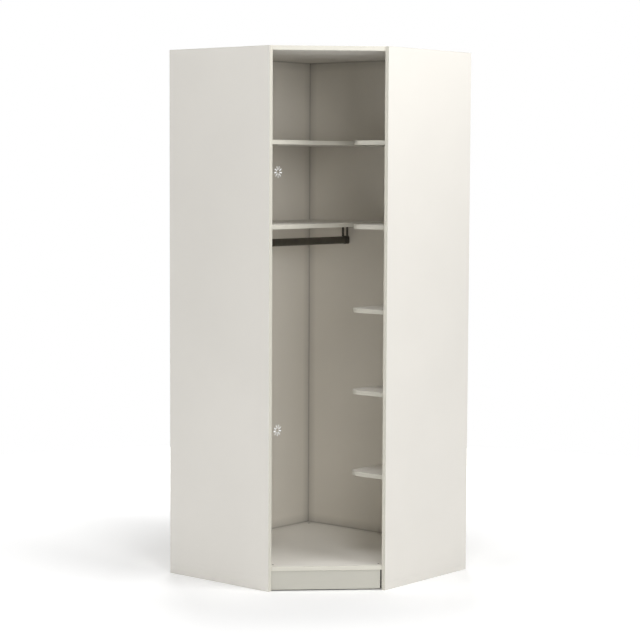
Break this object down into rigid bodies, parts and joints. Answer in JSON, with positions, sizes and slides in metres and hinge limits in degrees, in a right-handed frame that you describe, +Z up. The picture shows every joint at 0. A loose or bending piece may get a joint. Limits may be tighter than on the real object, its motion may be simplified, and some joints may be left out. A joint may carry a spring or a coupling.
{
  "type": "corner wardrobe",
  "caption": "Tall open-fronted wardrobe for a room corner: pentagonal plan, side panels, back boards, deep and narrow shelves, oval hanging rail and levelling feet behind a plinth.",
  "frame": {"origin": "middle of the square outline in plan, on the floor", "axes": "+Z up; the left back board lies along the low X side, the right back board along the high Y side, and the open front faces +X and -Y"},
  "size_m": [0.96, 0.96, 2.36],
  "materials": {
    "white_board": "matt melamine on chipboard, warm white, with matching edge band",
    "grey_plastic": "moulded, matt",
    "black_plastic": "moulded, matt",
    "bronze_metal": "dark bronze, satin",
    "zinc_steel": "zinc plated"
  },
  "bodies": {
    "carcass": {"left_side_panel": "white_board", "right_side_panel": "white_board", "left_back_board": "white_board", "right_back_board": "white_board", "top_panel": "white_board", "bottom_panel": "white_board", "plinth_board": "white_board", "hat_shelf": "white_board", "top_shelf": "white_board", "narrow_shelf_1": "white_board", "narrow_shelf_2": "white_board", "narrow_shelf_3": "white_board", "narrow_shelf_4": "white_board", "narrow_shelf_5": "white_board", "top_connector_left_rear": "grey_plastic", "top_connector_left_front": "grey_plastic", "top_connector_right_rear": "grey_plastic", "top_connector_right_front": "grey_plastic", "top_shelf_connector_left_rear": "grey_plastic", "top_shelf_connector_left_front": "grey_plastic", "top_shelf_connector_right_rear": "grey_plastic", "top_shelf_connector_right_front": "grey_plastic", "hat_shelf_connector_left_rear": "grey_plastic", "hat_shelf_connector_left_front": "grey_plastic", "hat_shelf_connector_right_rear": "grey_plastic", "hat_shelf_connector_right_front": "grey_plastic", "narrow_shelf_1_connector_side": "grey_plastic", "narrow_shelf_1_connector_back": "grey_plastic", "narrow_shelf_2_connector_side": "grey_plastic", "narrow_shelf_2_connector_back": "grey_plastic", "narrow_shelf_3_connector_side": "grey_plastic", "narrow_shelf_3_connector_back": "grey_plastic", "narrow_shelf_4_connector_side": "grey_plastic", "narrow_shelf_4_connector_back": "grey_plastic", "narrow_shelf_5_connector_side": "grey_plastic", "narrow_shelf_5_connector_back": "grey_plastic", "hanging_rail": "bronze_metal", "rail_shoe": "bronze_metal", "rail_post_rear": "bronze_metal", "rail_post_front": "bronze_metal", "rail_socket": "bronze_metal", "socket_screw_upper": "zinc_steel", "socket_screw_lower": "zinc_steel", "plinth_bracket_left": "grey_plastic", "plinth_bracket_right": "grey_plastic", "foot_front_right_housing": "black_plastic", "foot_rear_right_housing": "black_plastic", "foot_front_left_housing": "black_plastic", "foot_rear_left_housing": "black_plastic", "foot_corner_housing": "black_plastic"},
    "front_right_pad": {"foot_front_right_pad": "black_plastic"},
    "front_right_spindle": {"foot_front_right_spindle": "zinc_steel"},
    "rear_right_pad": {"foot_rear_right_pad": "black_plastic"},
    "rear_right_spindle": {"foot_rear_right_spindle": "zinc_steel"},
    "front_left_pad": {"foot_front_left_pad": "black_plastic"},
    "front_left_spindle": {"foot_front_left_spindle": "zinc_steel"},
    "rear_left_pad": {"foot_rear_left_pad": "black_plastic"},
    "rear_left_spindle": {"foot_rear_left_spindle": "zinc_steel"},
    "corner_pad": {"foot_corner_pad": "black_plastic"},
    "corner_spindle": {"foot_corner_spindle": "zinc_steel"}
  },
  "joints": [
    {"name": "front_right_travel", "type": "slide", "parent": "carcass", "child": "front_right_pad", "axis": [0, 0, -1], "range_m": [0, 0.015]},
    {"name": "front_right_turn", "type": "hinge", "parent": "front_right_pad", "child": "front_right_spindle", "pos_m": [0.424, -0.095, 0.04], "axis": [0, 0, -1], "range_deg": [0, 3601]},
    {"name": "rear_right_travel", "type": "slide", "parent": "carcass", "child": "rear_right_pad", "axis": [0, 0, -1], "range_m": [0, 0.015]},
    {"name": "rear_right_turn", "type": "hinge", "parent": "rear_right_pad", "child": "rear_right_spindle", "pos_m": [0.424, 0.404, 0.04], "axis": [0, 0, -1], "range_deg": [0, 3601]},
    {"name": "front_left_travel", "type": "slide", "parent": "carcass", "child": "front_left_pad", "axis": [0, 0, -1], "range_m": [0, 0.015]},
    {"name": "front_left_turn", "type": "hinge", "parent": "front_left_pad", "child": "front_left_spindle", "pos_m": [0.095, -0.424, 0.04], "axis": [0, 0, -1], "range_deg": [0, 3601]},
    {"name": "rear_left_travel", "type": "slide", "parent": "carcass", "child": "rear_left_pad", "axis": [0, 0, -1], "range_m": [0, 0.015]},
    {"name": "rear_left_turn", "type": "hinge", "parent": "rear_left_pad", "child": "rear_left_spindle", "pos_m": [-0.404, -0.424, 0.04], "axis": [0, 0, -1], "range_deg": [0, 3601]},
    {"name": "corner_travel", "type": "slide", "parent": "carcass", "child": "corner_pad", "axis": [0, 0, -1], "range_m": [0, 0.015]},
    {"name": "corner_turn", "type": "hinge", "parent": "corner_pad", "child": "corner_spindle", "pos_m": [-0.427, 0.427, 0.04], "axis": [0, 0, -1], "range_deg": [0, 3601]}
  ],
  "couplings": [
    {"joint": "front_right_turn", "follows": "front_right_travel", "rad_per_m": 4188.8},
    {"joint": "rear_right_turn", "follows": "rear_right_travel", "rad_per_m": 4188.8},
    {"joint": "front_left_turn", "follows": "front_left_travel", "rad_per_m": 4188.8},
    {"joint": "rear_left_turn", "follows": "rear_left_travel", "rad_per_m": 4188.8},
    {"joint": "corner_turn", "follows": "corner_travel", "rad_per_m": 4188.8}
  ]
}
